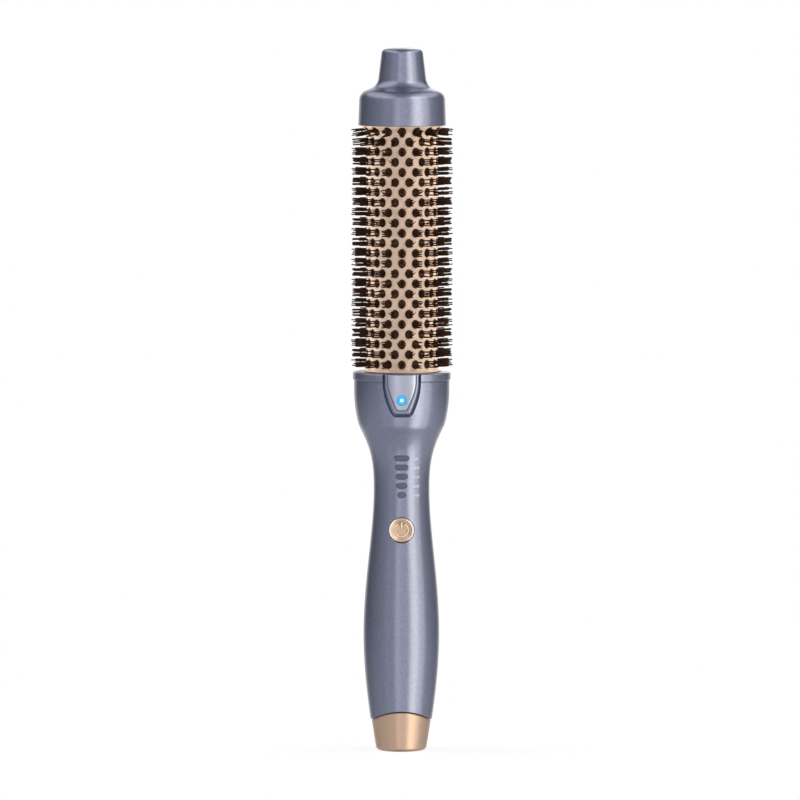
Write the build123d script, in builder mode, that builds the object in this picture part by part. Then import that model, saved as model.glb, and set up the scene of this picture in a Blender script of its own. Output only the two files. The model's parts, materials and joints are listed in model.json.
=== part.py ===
from build123d import *
import os

# Round heated styling brush, in millimetres. It stands on the flat of its end cap at Z = 0 with its
# axis along +Z; the power button, the indicator bars and the ion port face -Y.
# A "depth" is always a distance from the brush's axis towards its front, -Y.

# ---- Fits ------------------------------------------------------------------------------------
parting = 0.12            # hairline where two fixed mouldings meet in view
groove = 0.25             # wider shadow line round the ion panel and above the end cap
slip = 0.2                # round pieces that drop into each other
snug = 0.1                # close round fits, and boards against their seats
overrun = 1.0             # how far a cutting shape runs past what it cuts

# ---- Handle: outside radii, and the heights between them ----------------------------------------
cap_height = 14.3         # end cap, at its sides
seam_rise = 4.6           # the cap's seam arches up this much at front and back
foot_r = 13.72            # handle where it meets the cap
belly_r = 17.08           # widest part of the grip
waist_r = 14.9
neck_r = 12.54            # narrowest part of the grip
throat_r = 14.28
crease_inset = 2.16       # soft crease under the bowl, in from the bowl's side
foot_to_belly = 38.5
waist_to_neck = 33.8
neck_to_throat = 14.8
throat_to_crease = 12.0
crease_to_bowl = 16.0
bowl_rim_height = 3.8     # upright wall above the bowl's curve
crease_blend = 5.0
foot_flare = 0.15         # outward slope of the skin at the foot
crease_flare = 0.5        # and just under the crease
shell_wall = 2.1

# ---- End cap ------------------------------------------------------------------------------------
cap_draw = 2.52           # the cap draws in this much from the handle's foot to its base
cap_step = 0.45           # the cap stands in from the handle's skin
cap_edge = 1.5            # rounding round the flat base
cap_floor = 2.2
sleeve_wall = 1.2         # sleeve that goes up inside the shells
sleeve_over_seam = 1.0

# ---- Collar, tongue and ion port -----------------------------------------------------------------
rim_height = 4.3
rim_ledge = 6.0           # from the barrel to the rim's outside
rim_proud = 0.54          # the rim and the tongue stand out from the bowl
rim_edge = 0.9
rim_bore_gap = 0.4
spigot_wall = 1.1
spigot_depth = 3.0
tongue_half_width = 8.5
tongue_foot_half_width = 4.4
tongue_length = 19.2      # from the top of the rim down the bowl
tongue_straight = 3.0     # upright stretch of the tongue's sides
tongue_foot_lean = 0.42   # inward slope of its sides at the foot
tongue_corner = 1.7
tongue_border = 2.0       # width of the U frame beside the ion panel
tongue_foot_border = 2.7
tongue_back_gap = 0.24     # behind the tongue, in front of the collar's ring
tongue_cut_depth = 12.0   # the tongue's outline is cut from this depth outwards
port_below_rim = 11.7
port_r = 2.23
port_dome = 0.25
emitter_r = 0.72
ion_post_r = 0.9
ion_post_spread = 3.4
ion_post_under_spigot = 0.4
ion_board_size = (8.8, 0.8, 8.4)
led_size = (1.6, 0.8, 1.2)
ion_led_spread = 1.9

# ---- Barrel and bristles -------------------------------------------------------------------------
barrel_r = 16.0
barrel_wall = 1.0
barrel_exposed = 110.6    # from the rim to the tip
barrel_sunk = 18.9        # length hidden in the bowl
barrel_flange_width = 2.5
barrel_flange_t = 0.5
barrel_flange_cone = 0.4
barrel_foot_flare = 0.6
barrel_foot_height = 0.9  # bead over the rim
barrel_foot_cone = 0.8
row_count = 24
row_pitch = 4.535
tufts_per_row = 16
first_row_below_tip = 2.4
stagger_restart = 13      # the half-step stagger starts again after this many rows
tuft_root = (2.3, 2.6)    # across and along the barrel
tuft_tip = (2.7, 3.4)     # each tuft opens outwards
tuft_length = 6.9
carrier_wall = 1.6
carrier_end_gap = 0.3

# ---- Tip -----------------------------------------------------------------------------------------
tip_height = 34.8
tip_overhang = 3.7        # from the barrel to the tip's skirt
tip_skirt_height = 14.1
tip_draft = 0.7           # the skirt draws in this much up to its shoulder
tip_shoulder_rise = 4.2
knob_root_r = 10.75
knob_top_r = 9.1
knob_edge = 1.4
knob_root_blend = 3.5
shoulder_blend = 2.6
tip_wall = 1.6
tip_roof = 2.4
plug_depth = 10.5
plug_flange_t = 2.0
plug_post_height = 21.0
plug_bore_r = 5.5

# ---- Heater --------------------------------------------------------------------------------------
heater_size = (15.0, 3.0, 84.0)
heater_above_seat = 10.0
spreader_end_gap = 8.7    # room for the spreaders to grow with the heat
spreader_wall = 2.2
spreader_web = 2.0
seat_flange_t = 4.0
seat_plug_height = 12.0
seat_bore_r = 9.0
lead_size = (1.8, 1.2)
lead_spread = 4.0
lead_bend_height = 8.0
lead_bend_r = 10.0
sensor_r = 1.2
sensor_length = 5.0
fuse_r = 1.9
fuse_length = 11.0

# ---- Button, switch and indicator bars -----------------------------------------------------------
button_over_board_end = 3.5
button_r = 5.5
button_gap = 0.5
button_face_depth = 13.35
button_back_depth = 9.75
button_bevel = 0.45
flange_r = 6.4
flange_t = 0.9
flange_pocket_gap = 0.35
flange_front_gap = 0.15
stem_r = 1.8
travel = 0.6
switch_size = 6.0
switch_t = 3.6
plunger_r = 1.7
plunger_stands_out = 1.2
plunger_gap = 0.05
plunger_bore_gap = 0.08
plunger_bore_floor = 0.3
bar_widths = (6.6, 5.7, 5.3, 4.7, 3.6)
bar_height = 2.2
bar_pitch = 4.16
top_bar_above_neck = 12.2
bar_recess = 0.35
lens_plate_t = 1.0
lens_plate_width = 8.6
lens_plate_margin = 1.1

# ---- Boards, battery and charging socket ---------------------------------------------------------
board_depth = 1.4         # rear face of the control board
board_t = 1.6
board_width = 17.2
board_over_boss = 4.5
board_over_cradle = 3.8
boss_r = 2.0
boss_clear = 1.9          # from the light guide's plate to a boss
boss_over_button = 0.41   # from the button's pocket to the lower boss
screw_r = 0.9
screw_length = 5.5
screw_head_r = 1.8
screw_head_t = 1.2
generator_size = (12.0, 7.4, 22.0)
cell_r = 10.5
cell_length = 70.0
contact_t = 0.3
contact_r = 6.0
cradle_wall = 0.8
cradle_end_t = 1.2
socket_size = (8.94, 3.26)
socket_length = 7.3
socket_wall = 0.3
socket_inset = 0.2
socket_tongue = (6.6, 0.7)
socket_tongue_back = 1.0
socket_back_wall = 0.8
charge_board_size = (16.0, 1.2, 15.0)

# ---- Heights and radii worked out from the above -------------------------------------------------
seam_crown_z = cap_height + seam_rise
sleeve_r = foot_r - shell_wall - slip
sleeve_top_z = seam_crown_z + sleeve_over_seam
cradle_z = sleeve_top_z + snug
cell_z = cradle_z + cradle_end_t + contact_t
cell_top_z = cell_z + cell_length
cradle_top_z = cell_top_z + contact_t + cradle_end_t
board_bottom_z = cradle_top_z + board_over_cradle
button_z = board_bottom_z + button_over_board_end
belly_z = cap_height + foot_to_belly
lens_plate_length = (len(bar_widths) - 1) * bar_pitch + bar_height + 2 * lens_plate_margin
boss_offset = lens_plate_length / 2 + boss_clear + boss_r
lower_boss_z = button_z + flange_r + flange_pocket_gap + boss_over_button + boss_r
lens_plate_z = lower_boss_z + boss_offset
boss_heights = (lens_plate_z + boss_offset, lower_boss_z)
board_top_z = boss_heights[0] + board_over_boss
board_length = board_top_z - board_bottom_z
top_bar_z = lens_plate_z + (len(bar_widths) - 1) * bar_pitch / 2
neck_z = top_bar_z - top_bar_above_neck
waist_z = neck_z - waist_to_neck
throat_z = neck_z + neck_to_throat
crease_z = throat_z + throat_to_crease
bowl_z = crease_z + crease_to_bowl
handle_top_z = bowl_z + bowl_rim_height
rim_top_z = handle_top_z + rim_height
barrel_bottom_z = rim_top_z - barrel_sunk
barrel_top_z = rim_top_z + barrel_exposed
tip_z = barrel_top_z + snug
tip_top_z = barrel_top_z + tip_height
barrel_foot_r = barrel_r + barrel_foot_flare
cap_base_r = foot_r - cap_draw
rim_r = barrel_r + rim_ledge
bowl_r = rim_r - rim_proud
crease_r = bowl_r - crease_inset
lining_top_r = bowl_r - shell_wall
spigot_r = lining_top_r - slip
tongue_thickness = rim_r - spigot_r - tongue_back_gap
tip_skirt_r = barrel_r + tip_overhang
tip_shoulder_r = tip_skirt_r - tip_draft
barrel_bore_r = barrel_r - barrel_wall
carrier_r = barrel_bore_r - snug
spreader_r = carrier_r - carrier_wall - snug
seat_top_z = barrel_bottom_z + seat_plug_height
spreader_z = seat_top_z + carrier_end_gap
heater_z = seat_top_z + heater_above_seat
heater_half_gap = heater_size[1] / 2 + snug
plug_flange_r = tip_skirt_r - tip_wall - slip
plug_post_r = knob_top_r - tip_wall - slip
plug_bottom_z = barrel_top_z - plug_depth
spreader_length = plug_bottom_z - spreader_end_gap - spreader_z
port_z = rim_top_z - port_below_rim
ion_post_z = handle_top_z - spigot_depth - ion_post_under_spigot - ion_post_r
ion_board_depth = barrel_foot_r + snug
ion_board_front = ion_board_depth + ion_board_size[1]
flange_front_depth = button_back_depth + flange_t
pocket_depth = flange_front_depth + flange_front_gap
board_front_depth = board_depth + board_t
switch_front_depth = board_front_depth + switch_t
plunger_front_depth = switch_front_depth + plunger_stands_out
bar_heights = [top_bar_z - bar_pitch * row for row in range(len(bar_widths))]
bar_sizes = list(zip(bar_widths, bar_heights))
lens_plate_room = ((neck_r - shell_wall) ** 2 - (lens_plate_width / 2) ** 2) ** 0.5
lens_plate_depth = lens_plate_room - slip - lens_plate_t
row_heights = [barrel_top_z - first_row_below_tip - row_pitch * row for row in range(row_count)]
cap_top_r = foot_r - cap_step + seam_rise * foot_flare
lining_stations = (
    (foot_r - shell_wall, 0),
    (foot_r - shell_wall, cap_height),
    (belly_r - shell_wall, belly_z),
    (neck_r - shell_wall, neck_z),
    (throat_r - shell_wall, throat_z),
    (crease_r - shell_wall, crease_z),
    (lining_top_r, bowl_z),
    (lining_top_r, rim_top_z),
)


# ---- Small helpers for the part being built ------------------------------------------------------
def disc(radius, bottom, height, mode=Mode.ADD):
    """A round slab on the brush's axis."""
    with Locations((0, 0, bottom)):
        Cylinder(radius, height, align=(Align.CENTER, Align.CENTER, Align.MIN), mode=mode)


def front_pin(radius, x, z, depth_from, depth_to, mode=Mode.ADD):
    """A round pin along Y between two depths."""
    with Locations((x, -(depth_from + depth_to) / 2, z)):
        Cylinder(radius, abs(depth_to - depth_from), rotation=(90, 0, 0), mode=mode)


def slab(size, x, depth_from, z, mode=Mode.ADD):
    """A box centred on x and z whose rear face lies at a depth."""
    with Locations((x, -depth_from - size[1] / 2, z)):
        Box(*size, mode=mode)


# ---- Shapes that several pieces share ------------------------------------------------------------
def handle_solid(inset, top_z):
    """The handle's outside as one solid of revolution, every radius smaller by inset."""
    foot_z = cap_height - overrun
    stations = (
        (foot_r, foot_z),
        (belly_r, belly_z),
        (waist_r, waist_z),
        (neck_r, neck_z),
        (throat_r, throat_z),
        (crease_r, crease_z),
    )
    points = [(r - inset, z) for r, z in stations]
    with BuildPart() as solid:
        with BuildSketch(Plane.XZ):
            with BuildLine():
                grip = Spline(*points, tangents=[(foot_flare, 1), (crease_flare, 1)])
                wall = Line((bowl_r - inset, top_z), (bowl_r - inset, bowl_z))
                TangentArc(wall @ 1, grip @ 1, tangent=(0, -1))
                Polyline(wall @ 0, (0, top_z), (0, foot_z), grip @ 0)
            make_face()
        revolve(axis=Axis.Z)
        crease = solid.edges().filter_by(GeomType.CIRCLE).sort_by(lambda e: abs(e.center().Z - crease_z))[0]
        fillet(crease, crease_blend)
    return solid.part


def lining_solid():
    """The shells' hollow, in straight tapers so that each half draws off its core."""
    with BuildPart() as solid:
        with BuildSketch(Plane.XZ):
            with BuildLine():
                Polyline((0, 0), *lining_stations, (0, rim_top_z), close=True)
            make_face()
        revolve(axis=Axis.Z)
    return solid.part


def lining_radius(z):
    """Radius of the shells' hollow at a height."""
    for (low_r, low_z), (high_r, high_z) in zip(lining_stations, lining_stations[1:]):
        if low_z <= z <= high_z:
            return low_r + (high_r - low_r) * (z - low_z) / (high_z - low_z)
    return lining_top_r


def below_seam(lift):
    """Everything under the end cap's arched seam, with the seam raised by lift."""
    reach = 2 * belly_r
    side = cap_height + lift
    with BuildPart() as block:
        with BuildSketch(Plane.XZ):
            with BuildLine():
                arch = ThreePointArc((-foot_r, side), (0, seam_crown_z + lift), (foot_r, side))
                Polyline(
                    arch @ 1, (reach, side), (reach, -overrun), (-reach, -overrun), (-reach, side), arch @ 0
                )
            make_face()
        extrude(amount=reach, both=True)
    return block.part


def tongue_block(side_inset, foot_inset):
    """The tongue's tapered U outline, run straight out through the front of the collar."""
    half = tongue_half_width - side_inset
    foot_half = tongue_foot_half_width - side_inset
    top = rim_top_z + overrun
    shoulder = rim_top_z - tongue_straight
    foot = rim_top_z - tongue_length + foot_inset
    with BuildPart() as block:
        with BuildSketch(Plane.XZ.offset(tongue_cut_depth)):
            with BuildLine():
                side = Line((half, top), (half, shoulder))
                flank = Spline(side @ 1, (foot_half, foot), tangents=[(0, -1), (-tongue_foot_lean, -1)])
                Polyline(flank @ 1, (0, foot), (0, top), side @ 0)
            make_face()
            mirror(about=Plane.YZ)
        extrude(amount=rim_r)
        fillet(block.edges().filter_by(Axis.Y).group_by(Axis.Z)[0], tongue_corner)
    return block.part


skin = handle_solid(0, handle_top_z)
lining = lining_solid()
proud_skin = handle_solid(-rim_proud, rim_top_z)
tongue_back = handle_solid(tongue_thickness - rim_proud, rim_top_z + overrun)
pad_skin = handle_solid(bar_recess, handle_top_z)


# ---- Handle shells -------------------------------------------------------------------------------
with BuildPart() as both_shells:
    add(skin)
    add(lining, mode=Mode.SUBTRACT)
    add(below_seam(groove), mode=Mode.SUBTRACT)

with BuildPart() as handle_rear_shell:
    add(both_shells.part)
    split(bisect_by=Plane.XZ.offset(-parting / 2), keep=Keep.BOTTOM)

with BuildPart() as handle_front_shell:
    add(both_shells.part)
    split(bisect_by=Plane.XZ.offset(parting / 2), keep=Keep.TOP)
    # window for the tongue, hole and inner pocket for the power button, slots for the bars
    add(tongue_block(-parting, -parting), mode=Mode.SUBTRACT)
    front_pin(button_r + button_gap, 0, button_z, button_back_depth, belly_r, mode=Mode.SUBTRACT)
    front_pin(flange_r + flange_pocket_gap, 0, button_z, 0, pocket_depth, mode=Mode.SUBTRACT)
    with BuildSketch(Plane.XZ.offset(lens_plate_depth)):
        for width, height in bar_sizes:
            with Locations((0, height)):
                SlotOverall(width + 2 * parting, bar_height + 2 * parting)
    extrude(amount=belly_r, mode=Mode.SUBTRACT)
    # bosses for the control board, run into the middle of the wall
    for boss_z in boss_heights:
        screw_tip = board_front_depth + screw_length
        front_pin(boss_r, 0, boss_z, board_front_depth, lining_radius(boss_z) + shell_wall / 2)
        front_pin(screw_r + snug, 0, boss_z, board_front_depth, screw_tip, mode=Mode.SUBTRACT)

# ---- End cap, with the sleeve that goes up inside the shells ---------------------------------------
with BuildPart() as end_cap:
    with BuildSketch(Plane.XZ):
        with BuildLine():
            Polyline((0, 0), (cap_base_r, 0), (cap_top_r, seam_crown_z), (0, seam_crown_z), close=True)
        make_face()
    revolve(axis=Axis.Z)
    fillet(end_cap.edges().filter_by(GeomType.CIRCLE).group_by(Axis.Z)[0], cap_edge)
    add(below_seam(0), mode=Mode.INTERSECT)
    disc(sleeve_r, cap_floor, sleeve_top_z - cap_floor)
    disc(sleeve_r - sleeve_wall, cap_floor, sleeve_top_z, mode=Mode.SUBTRACT)
    with BuildSketch(Plane.XY):
        SlotOverall(socket_size[0] + 2 * slip, socket_size[1] + 2 * slip)
    extrude(amount=cap_floor, mode=Mode.SUBTRACT)

# ---- Collar: stepped rim on top of the shells, notched for the tongue ------------------------------
with BuildPart() as collar_ring:
    disc(rim_r, handle_top_z, rim_height)
    fillet(collar_ring.edges().filter_by(GeomType.CIRCLE).group_by(Axis.Z)[-1], rim_edge)
    add(tongue_block(-parting, -parting), mode=Mode.SUBTRACT)
    disc(spigot_r, handle_top_z - spigot_depth, rim_height + spigot_depth)
    disc(spigot_r - spigot_wall, handle_top_z - spigot_depth, spigot_depth, mode=Mode.SUBTRACT)
    disc(barrel_foot_r + rim_bore_gap, handle_top_z - spigot_depth, rim_top_z, mode=Mode.SUBTRACT)

# ---- Tongue: U frame, ion panel in it, and the lit port --------------------------------------------
with BuildPart() as tongue_frame:
    add(proud_skin)
    add(tongue_back, mode=Mode.SUBTRACT)
    add(tongue_block(0, 0), mode=Mode.INTERSECT)
    add(tongue_block(tongue_border, tongue_foot_border), mode=Mode.SUBTRACT)

with BuildPart() as ion_panel:
    add(proud_skin)
    add(tongue_back, mode=Mode.SUBTRACT)
    add(tongue_block(tongue_border + groove, tongue_foot_border + groove), mode=Mode.INTERSECT)
    # posts on its back for the ion board
    for x in (-ion_post_spread, ion_post_spread):
        front_pin(ion_post_r, x, ion_post_z, ion_board_front, rim_r - tongue_thickness / 2)
    front_pin(port_r + snug, 0, port_z, 0, 2 * rim_r, mode=Mode.SUBTRACT)

with BuildPart() as ion_port_lens:
    front_pin(port_r, 0, port_z, rim_r - tongue_thickness, rim_r + port_dome)
    chamfer(ion_port_lens.edges().filter_by(GeomType.CIRCLE).group_by(Axis.Y)[0], port_dome)
    front_pin(emitter_r + snug, 0, port_z, 0, 2 * rim_r, mode=Mode.SUBTRACT)

with BuildPart() as ion_emitter:
    front_pin(emitter_r, 0, port_z, ion_board_front, rim_r + port_dome / 2)

with BuildPart() as ion_board:
    slab(ion_board_size, 0, ion_board_depth, port_z)

with BuildPart() as ion_leds:
    for x in (-ion_led_spread, ion_led_spread):
        slab(led_size, x, ion_board_front, port_z)

# ---- Barrel and its seat ---------------------------------------------------------------------------
with BuildPart() as barrel:
    with BuildSketch(Plane.XZ):
        with BuildLine():
            Polyline(
                (barrel_bore_r, barrel_bottom_z),
                (barrel_r, barrel_bottom_z),
                (barrel_foot_r, barrel_bottom_z + barrel_foot_cone),
                (barrel_foot_r, rim_top_z + barrel_foot_height),
                (barrel_r, rim_top_z + barrel_foot_height + barrel_foot_cone),
                (barrel_r, barrel_top_z - barrel_flange_t - barrel_flange_cone),
                (barrel_r + barrel_flange_width, barrel_top_z - barrel_flange_t),
                (barrel_r + barrel_flange_width, barrel_top_z),
                (barrel_bore_r, barrel_top_z),
                close=True,
            )
        make_face()
    revolve(axis=Axis.Z)

with BuildPart() as barrel_seat:
    disc(lining_radius(barrel_bottom_z - seat_flange_t) - slip, barrel_bottom_z - seat_flange_t, seat_flange_t)
    disc(barrel_bore_r - snug, barrel_bottom_z, seat_plug_height)
    disc(seat_bore_r, barrel_bottom_z - seat_flange_t, seat_flange_t + seat_plug_height, mode=Mode.SUBTRACT)

# ---- Bristles: staggered rows of square, splayed tufts on the barrel -------------------------------
with BuildPart() as tuft:
    spread_x, spread_z = ((tip - root) / 2 for tip, root in zip(tuft_tip, tuft_root))
    with Locations((0, barrel_r + parting + tuft_length / 2, 0)):
        Wedge(
            tuft_root[0], tuft_length, tuft_root[1],
            -spread_x, -spread_z, tuft_root[0] + spread_x, tuft_root[1] + spread_z,
        )

tuft_turn = 360 / tufts_per_row
tuft_places = []
for row, row_z in enumerate(row_heights):
    half_step = (row if row < stagger_restart else row - stagger_restart) % 2
    for tuft_number in range(tufts_per_row):
        angle = tuft_turn * (tuft_number + half_step / 2)
        tuft_places.append(Location((0, 0, row_z), (0, 0, angle)))

with BuildPart() as bristle_tufts:
    with Locations(*tuft_places):
        add(tuft.part)

with BuildPart() as bristle_carrier:
    carrier_length = plug_bottom_z - seat_top_z - 2 * carrier_end_gap
    disc(carrier_r, seat_top_z + carrier_end_gap, carrier_length)
    disc(carrier_r - carrier_wall, seat_top_z + carrier_end_gap, carrier_length, mode=Mode.SUBTRACT)

# ---- Heater: a ceramic plate between two aluminium D sections ---------------------------------------
with BuildPart() as spreader:
    with BuildSketch(Plane.XY.offset(spreader_z)):
        Circle(spreader_r)
        Circle(spreader_r - spreader_wall, mode=Mode.SUBTRACT)
        with Locations((0, heater_half_gap + spreader_web / 2)):
            Rectangle(2 * (spreader_r - spreader_wall), spreader_web)
        with Locations((0, heater_half_gap - spreader_r)):
            Rectangle(2 * spreader_r, 2 * spreader_r, mode=Mode.SUBTRACT)
    extrude(amount=spreader_length)

with BuildPart() as heat_spreader_rear:
    add(spreader.part)

with BuildPart() as heat_spreader_front:
    add(spreader.part)
    mirror(about=Plane.XZ, mode=Mode.REPLACE)

with BuildPart() as heater_plate:
    slab(heater_size, 0, -heater_size[1] / 2, heater_z + heater_size[2] / 2)

with BuildPart() as thermistor:
    with Locations((0, -heater_half_gap - spreader_web - sensor_r, heater_z + heater_size[2] / 2)):
        Cylinder(sensor_r, sensor_length)

with BuildPart() as thermal_fuse:
    with Locations((0, heater_half_gap + spreader_web + fuse_r, heater_z + fuse_length)):
        Cylinder(fuse_r, fuse_length)

with BuildPart() as heater_leads:
    for x in (-lead_spread, lead_spread):
        board_middle = -(board_depth + board_front_depth) / 2
        bend_z = (heater_z + board_top_z) / 2
        with BuildLine() as lead_path:
            FilletPolyline(
                (x, board_middle, board_top_z),
                (x, board_middle, bend_z - lead_bend_height / 2),
                (x, 0, bend_z + lead_bend_height / 2),
                (x, 0, heater_z),
                radius=lead_bend_r,
            )
        with BuildSketch(Plane((x, board_middle, board_top_z))):
            Rectangle(*lead_size)
        sweep(path=lead_path.line)

# ---- Tip: hollow cap over a heat-insulating plug -----------------------------------------------------
with BuildPart() as tip_cap:
    with BuildSketch(Plane.XZ):
        with BuildLine():
            Polyline(
                (0, tip_z),
                (tip_skirt_r, tip_z),
                (tip_shoulder_r, tip_z + tip_skirt_height),
                (knob_root_r, tip_z + tip_skirt_height + tip_shoulder_rise),
                (knob_top_r, tip_top_z),
                (0, tip_top_z),
                close=True,
            )
        make_face()
    revolve(axis=Axis.Z)
    rims = tip_cap.edges().filter_by(GeomType.CIRCLE).sort_by(Axis.Z)
    fillet(rims[-1], knob_edge)
    rims = tip_cap.edges().filter_by(GeomType.CIRCLE).sort_by(lambda e: abs(e.radius - knob_root_r))
    fillet(rims[0], knob_root_blend)
    rims = tip_cap.edges().filter_by(GeomType.CIRCLE).sort_by(lambda e: abs(e.radius - tip_shoulder_r))
    fillet(rims[0], shoulder_blend)
    disc(plug_flange_r + slip, tip_z, tip_skirt_height - tip_wall, mode=Mode.SUBTRACT)
    disc(plug_post_r + slip, tip_z, tip_height - tip_roof, mode=Mode.SUBTRACT)

with BuildPart() as tip_plug:
    disc(barrel_bore_r - snug, plug_bottom_z, plug_depth)
    disc(plug_flange_r, barrel_top_z, plug_flange_t)
    disc(plug_post_r, barrel_top_z, plug_post_height)
    disc(plug_bore_r, plug_bottom_z, plug_depth + plug_post_height - plug_flange_t, mode=Mode.SUBTRACT)

# ---- Power button and switch ---------------------------------------------------------------------------
with BuildPart() as power_button:
    front_pin(button_r, 0, button_z, button_back_depth, button_face_depth)
    chamfer(power_button.edges().filter_by(GeomType.CIRCLE).group_by(Axis.Y)[0], button_bevel)
    front_pin(flange_r, 0, button_z, button_back_depth, flange_front_depth)
    front_pin(stem_r, 0, button_z, plunger_front_depth + plunger_gap, button_back_depth)

with BuildPart() as switch_body:
    slab((switch_size, switch_t, switch_size), 0, board_front_depth, button_z)
    bore_floor = board_front_depth + plunger_bore_floor
    front_pin(plunger_r + plunger_bore_gap, 0, button_z, bore_floor, switch_front_depth, mode=Mode.SUBTRACT)

with BuildPart() as switch_plunger:
    front_pin(plunger_r, 0, button_z, bore_floor + travel + 2 * plunger_gap, plunger_front_depth)

# ---- Indicator bars: one light guide with five pads, and the chips behind them ----------------------------
with BuildPart() as indicator_lens:
    with BuildSketch(Plane.XZ.offset(lens_plate_depth)):
        for width, height in bar_sizes:
            with Locations((0, height)):
                SlotOverall(width, bar_height)
    extrude(amount=belly_r)
    add(pad_skin, mode=Mode.INTERSECT)
    slab((lens_plate_width, lens_plate_t, lens_plate_length), 0, lens_plate_depth, lens_plate_z)

with BuildPart() as indicator_leds:
    for height in bar_heights:
        slab(led_size, 0, board_front_depth, height)

# ---- Control board and what it carries --------------------------------------------------------------------
with BuildPart() as control_board:
    slab((board_width, board_t, board_length), 0, board_depth, board_top_z - board_length / 2)
    for boss_z in boss_heights:
        front_pin(screw_r + snug, 0, boss_z, board_depth, board_front_depth, mode=Mode.SUBTRACT)

with BuildPart() as board_screws:
    for boss_z in boss_heights:
        front_pin(screw_head_r, 0, boss_z, board_depth - screw_head_t, board_depth)
        front_pin(screw_r, 0, boss_z, board_depth, board_front_depth + screw_length - snug)

with BuildPart() as ion_generator:
    slab(generator_size, 0, board_depth - generator_size[1], (boss_heights[0] + boss_heights[1]) / 2)

# ---- Battery in its cradle -----------------------------------------------------------------------
with BuildPart() as battery_cell:
    disc(cell_r, cell_z, cell_length)

with BuildPart() as battery_contacts:
    disc(contact_r, cell_z - contact_t, contact_t)
    disc(contact_r, cell_top_z, contact_t)

with BuildPart() as battery_cradle:
    cradle_r = cell_r + snug + cradle_wall
    cradle_room = cell_length + 2 * contact_t
    disc(cradle_r, cradle_z, cradle_top_z - cradle_z)
    disc(cell_r + snug, cradle_z + cradle_end_t, cradle_room, mode=Mode.SUBTRACT)
    # its front half is open between the two ends
    front_half = (2 * cradle_r + overrun, cradle_r + overrun, cradle_room)
    slab(front_half, 0, 0, (cradle_z + cradle_top_z) / 2, mode=Mode.SUBTRACT)

# ---- Charging socket, held in the end cap's floor ------------------------------------------------
with BuildPart() as charging_socket:
    with BuildSketch(Plane.XY.offset(socket_inset)):
        SlotOverall(*socket_size)
    extrude(amount=socket_length)
    with BuildSketch(Plane.XY.offset(socket_inset)):
        SlotOverall(socket_size[0] - 2 * socket_wall, socket_size[1] - 2 * socket_wall)
    extrude(amount=socket_length - socket_back_wall, mode=Mode.SUBTRACT)
    tongue_root_z = socket_inset + socket_length - socket_back_wall
    tongue_reach = socket_length - socket_back_wall - socket_tongue_back
    with Locations((0, 0, tongue_root_z - tongue_reach / 2)):
        Box(*socket_tongue, tongue_reach)

with BuildPart() as charge_board:
    rear_face = -socket_size[1] / 2 - charge_board_size[1]
    slab(charge_board_size, 0, rear_face, cap_floor + snug + charge_board_size[2] / 2)


# ---- Write every piece ---------------------------------------------------------------------------
pieces = {
    "tip_cap": tip_cap,
    "tip_plug": tip_plug,
    "barrel": barrel,
    "barrel_seat": barrel_seat,
    "bristle_tufts": bristle_tufts,
    "bristle_carrier": bristle_carrier,
    "heat_spreader_front": heat_spreader_front,
    "heat_spreader_rear": heat_spreader_rear,
    "heater_plate": heater_plate,
    "heater_leads": heater_leads,
    "thermistor": thermistor,
    "thermal_fuse": thermal_fuse,
    "collar_ring": collar_ring,
    "tongue_frame": tongue_frame,
    "ion_panel": ion_panel,
    "ion_port_lens": ion_port_lens,
    "ion_emitter": ion_emitter,
    "ion_board": ion_board,
    "ion_leds": ion_leds,
    "ion_generator": ion_generator,
    "handle_front_shell": handle_front_shell,
    "handle_rear_shell": handle_rear_shell,
    "indicator_lens": indicator_lens,
    "indicator_leds": indicator_leds,
    "power_button": power_button,
    "switch_body": switch_body,
    "switch_plunger": switch_plunger,
    "control_board": control_board,
    "board_screws": board_screws,
    "battery_cell": battery_cell,
    "battery_contacts": battery_contacts,
    "battery_cradle": battery_cradle,
    "charge_board": charge_board,
    "charging_socket": charging_socket,
    "end_cap": end_cap,
}
os.makedirs("parts", exist_ok=True)
for label, piece in pieces.items():
    piece.part.label = label
    export_step(piece.part, f"parts/{label}.step")
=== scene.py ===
import json
import math
import random

import bmesh
import bpy
from mathutils import Matrix, Quaternion, Vector
from mathutils.geometry import interpolate_bezier

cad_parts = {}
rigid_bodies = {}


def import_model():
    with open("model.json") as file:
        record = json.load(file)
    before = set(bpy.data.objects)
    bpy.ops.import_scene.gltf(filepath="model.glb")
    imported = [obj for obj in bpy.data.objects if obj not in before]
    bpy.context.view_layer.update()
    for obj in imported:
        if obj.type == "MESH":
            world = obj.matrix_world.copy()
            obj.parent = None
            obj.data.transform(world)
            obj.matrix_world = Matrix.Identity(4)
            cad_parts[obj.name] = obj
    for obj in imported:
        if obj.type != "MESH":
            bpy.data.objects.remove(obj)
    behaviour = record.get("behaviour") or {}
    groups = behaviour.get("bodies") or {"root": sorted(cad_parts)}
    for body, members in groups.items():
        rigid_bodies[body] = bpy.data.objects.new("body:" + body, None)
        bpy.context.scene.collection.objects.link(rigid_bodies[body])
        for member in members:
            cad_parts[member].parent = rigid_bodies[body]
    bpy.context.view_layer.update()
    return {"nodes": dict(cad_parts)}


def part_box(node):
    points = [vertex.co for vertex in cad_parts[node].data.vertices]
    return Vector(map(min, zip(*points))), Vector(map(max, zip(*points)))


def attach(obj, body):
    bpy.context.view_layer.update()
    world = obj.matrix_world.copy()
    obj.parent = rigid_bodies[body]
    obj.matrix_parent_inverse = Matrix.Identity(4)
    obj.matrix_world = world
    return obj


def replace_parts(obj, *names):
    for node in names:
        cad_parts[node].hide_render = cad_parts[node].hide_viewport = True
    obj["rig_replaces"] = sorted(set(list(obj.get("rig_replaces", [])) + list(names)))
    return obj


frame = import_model()

# A round heated styling brush. Lengths are in millimetres until settle() brings a piece to metres.
# The brush stands on Z = 0 with its axis along +Z, and its front faces -Y.
MM = 0.001


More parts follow.
